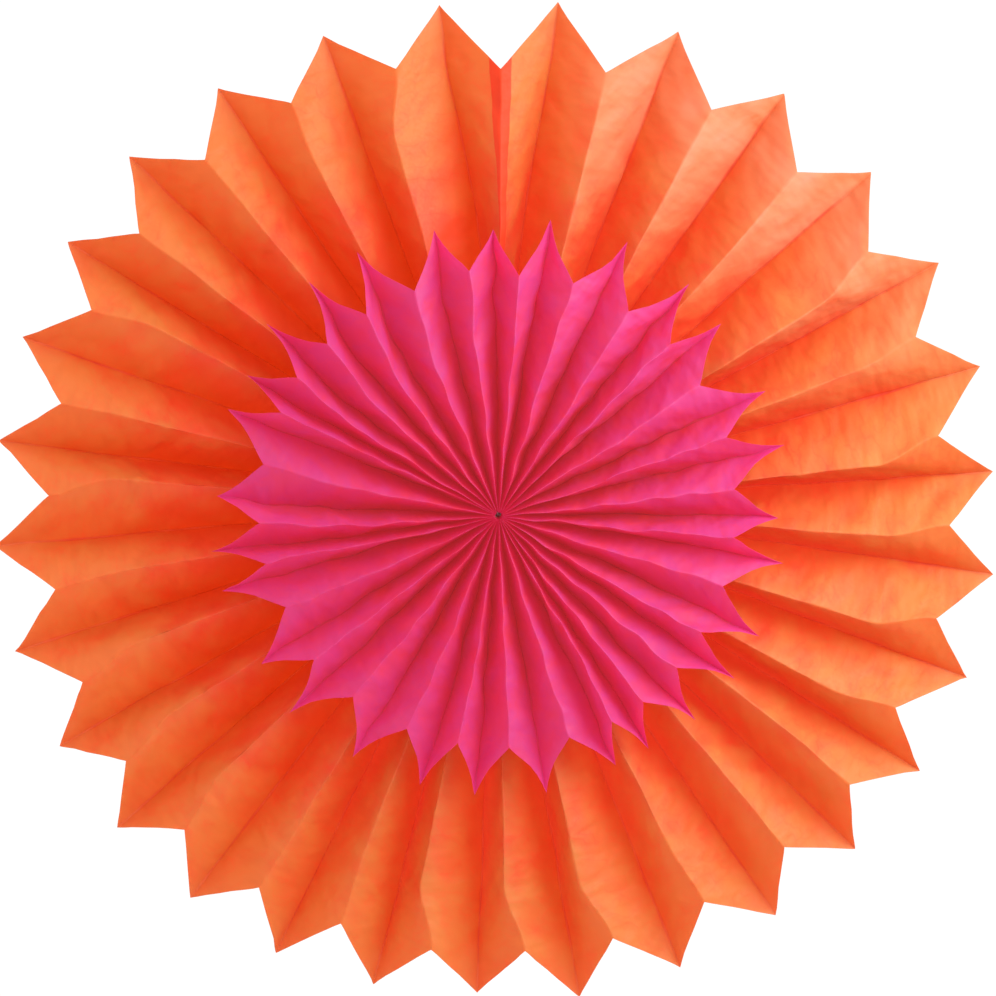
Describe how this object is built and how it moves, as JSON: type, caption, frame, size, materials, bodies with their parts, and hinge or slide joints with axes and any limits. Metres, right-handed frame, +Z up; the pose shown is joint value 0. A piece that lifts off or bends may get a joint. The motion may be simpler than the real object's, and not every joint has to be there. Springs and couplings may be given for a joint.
{
  "type": "paper fan rosette",
  "caption": "Hanging party decoration: a small pink accordion-pleated tissue fan fixed in front of a large orange one, both full circles with pointed rims.",
  "frame": {"origin": "on the axis of the centre hole, level with the rear folds of the orange fan, where a wall would be", "axes": "+Z up through the glued seam, -Y the way the rosette faces, +X to the viewer's right"},
  "size_m": [0.4988, 0.0546, 0.4983],
  "materials": {
    "orange_tissue": "matte translucent tissue",
    "pink_tissue": "matte translucent tissue",
    "pad": "soft foam tape"
  },
  "bodies": {
    "root": {"orange_fan": "orange_tissue", "pink_fan": "pink_tissue", "adhesive_pad": "pad"}
  },
  "joints": []
}
